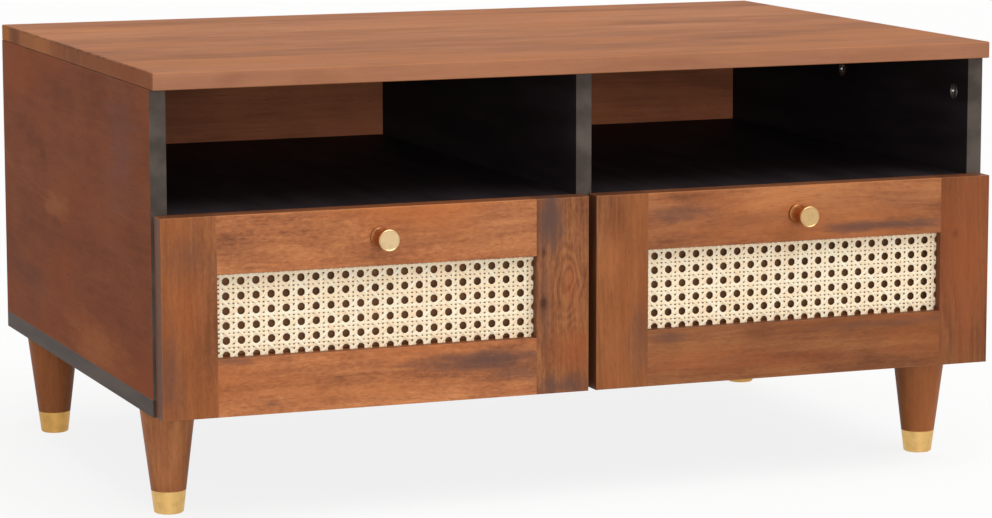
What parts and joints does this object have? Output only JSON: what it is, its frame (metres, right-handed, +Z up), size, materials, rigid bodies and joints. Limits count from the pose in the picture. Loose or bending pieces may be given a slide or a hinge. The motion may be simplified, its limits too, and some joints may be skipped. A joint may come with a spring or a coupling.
{
  "type": "coffee table",
  "caption": "Low wooden coffee table: open bays over drawers with woven cane fronts and brass knobs, on tapered round legs with metal ferrules.",
  "frame": {"origin": "on the floor, under the middle of the table's overall box, knobs included", "axes": "+X along the front towards the right-hand drawer, +Y from the drawers towards the back, +Z up"},
  "size_m": [0.8, 0.565, 0.395],
  "materials": {
    "top_wood": "satin lacquered solid wood, edge-glued boards",
    "side_wood": "satin brown wood outside, black inside, dark grey front edge",
    "dark_board": "matt black board with a dark grey front edge",
    "back_wood": "thin brown board",
    "front_wood": "satin lacquered solid wood",
    "cane": "pale woven cane",
    "bead_wood": "plain wood",
    "box_wood": "plain brown wood",
    "box_ply": "thin plywood",
    "runner_wood": "plain hardwood",
    "dowel_wood": "plain beech-coloured wood",
    "leg_wood": "satin lacquered turned wood",
    "brass": "satin pale brass",
    "zinc": "plain zinc alloy",
    "steel": "zinc-plated steel"
  },
  "bodies": {
    "cabinet": {"table_top": "top_wood", "side_panel_left": "side_wood", "side_panel_right": "side_wood", "centre_divider": "dark_board", "shelf_left": "dark_board", "shelf_right": "dark_board", "bottom_board": "dark_board", "back_panel": "back_wood", "back_screws": "steel", "bottom_screws": "steel", "top_cams": "zinc", "top_cam_bolts": "steel", "top_dowels": "dowel_wood", "shelf_dowels": "dowel_wood", "leg_front_left": "leg_wood", "leg_front_right": "leg_wood", "leg_rear_left": "leg_wood", "leg_rear_right": "leg_wood", "ferrule_front_left": "brass", "ferrule_front_right": "brass", "ferrule_rear_left": "brass", "ferrule_rear_right": "brass", "threaded_inserts": "zinc", "leg_bolts": "steel", "runner_left_outer": "runner_wood", "runner_left_inner": "runner_wood", "runner_right_inner": "runner_wood", "runner_right_outer": "runner_wood", "runner_screws": "steel"},
    "left_drawer": {"left_drawer_stile_left": "front_wood", "left_drawer_stile_right": "front_wood", "left_drawer_rail_top": "front_wood", "left_drawer_rail_bottom": "front_wood", "left_drawer_cane_panel": "cane", "left_drawer_cane_beads": "bead_wood", "left_drawer_box_side_left": "box_wood", "left_drawer_box_side_right": "box_wood", "left_drawer_box_front": "box_wood", "left_drawer_box_back": "box_wood", "left_drawer_box_bottom": "box_ply", "left_drawer_front_screws": "steel", "left_drawer_knob": "brass", "left_drawer_knob_screw": "steel"},
    "right_drawer": {"right_drawer_stile_left": "front_wood", "right_drawer_stile_right": "front_wood", "right_drawer_rail_top": "front_wood", "right_drawer_rail_bottom": "front_wood", "right_drawer_cane_panel": "cane", "right_drawer_cane_beads": "bead_wood", "right_drawer_box_side_left": "box_wood", "right_drawer_box_side_right": "box_wood", "right_drawer_box_front": "box_wood", "right_drawer_box_back": "box_wood", "right_drawer_box_bottom": "box_ply", "right_drawer_front_screws": "steel", "right_drawer_knob": "brass", "right_drawer_knob_screw": "steel"}
  },
  "joints": [
    {"name": "left_drawer_slide", "type": "slide", "parent": "cabinet", "child": "left_drawer", "axis": [0, -1, 0], "range_m": [0, 0.3]},
    {"name": "right_drawer_slide", "type": "slide", "parent": "cabinet", "child": "right_drawer", "axis": [0, -1, 0], "range_m": [0, 0.3]}
  ]
}
